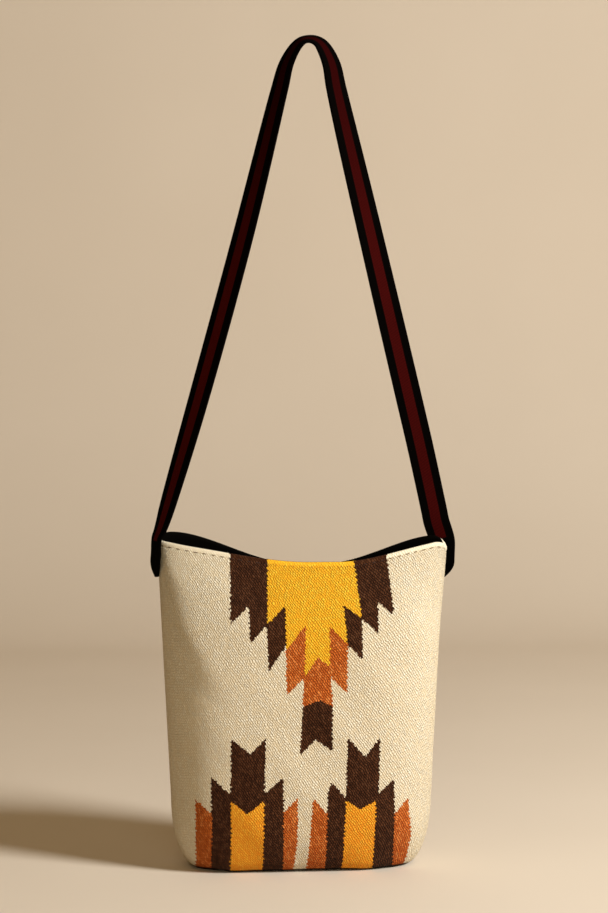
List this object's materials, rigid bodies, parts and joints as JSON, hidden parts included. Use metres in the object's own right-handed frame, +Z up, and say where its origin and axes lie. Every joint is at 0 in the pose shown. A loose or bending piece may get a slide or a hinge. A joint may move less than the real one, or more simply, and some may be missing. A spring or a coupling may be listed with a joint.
{
  "type": "shoulder bag",
  "caption": "Soft handwoven wool shoulder bag with stepped feather motifs, black lining, snap closure and a long flat webbing strap, standing on its base.",
  "frame": {"origin": "middle of the base, on the surface the bag stands on", "axes": "+Z up along the strap, front towards -Y, +X to the right seen from the front"},
  "size_m": [0.2934, 0.1244, 0.789],
  "materials": {
    "wool_cream": "matte handwoven wool",
    "wool_brown": "matte handwoven wool",
    "wool_yellow": "matte handwoven wool",
    "wool_rust": "matte handwoven wool",
    "lining_black": "plain black cotton",
    "strap_black": "woven webbing",
    "strap_red": "woven webbing",
    "snap_metal": "dull nickel",
    "base_board": "plain stiff board"
  },
  "bodies": {
    "root": {"front_panel": "wool_cream", "field_top_brown_left": "wool_brown", "field_top_brown_left_inner": "wool_brown", "field_top_rust_left": "wool_rust", "field_top_yellow": "wool_yellow", "field_top_rust_right": "wool_rust", "field_top_brown_right_inner": "wool_brown", "field_top_brown_right": "wool_brown", "field_top_rust_middle": "wool_rust", "field_top_brown_tail": "wool_brown", "field_left_brown_arrow": "wool_brown", "field_left_brown_outer": "wool_brown", "field_left_yellow": "wool_yellow", "field_left_brown_inner": "wool_brown", "field_left_rust_outer": "wool_rust", "field_left_rust_inner": "wool_rust", "field_right_rust_inner": "wool_rust", "field_right_brown_inner": "wool_brown", "field_right_yellow": "wool_yellow", "field_right_brown_arrow": "wool_brown", "field_right_brown_outer": "wool_brown", "field_right_rust_outer": "wool_rust", "back_panel": "wool_cream", "base_panel": "wool_cream", "base_board": "base_board", "lining": "lining_black", "snap_stud": "snap_metal", "snap_socket": "snap_metal", "snap_washer_front": "snap_metal", "snap_washer_back": "snap_metal", "strap": "strap_black", "strap_stripe_outer": "strap_red", "strap_stripe_inner": "strap_red"}
  },
  "joints": []
}
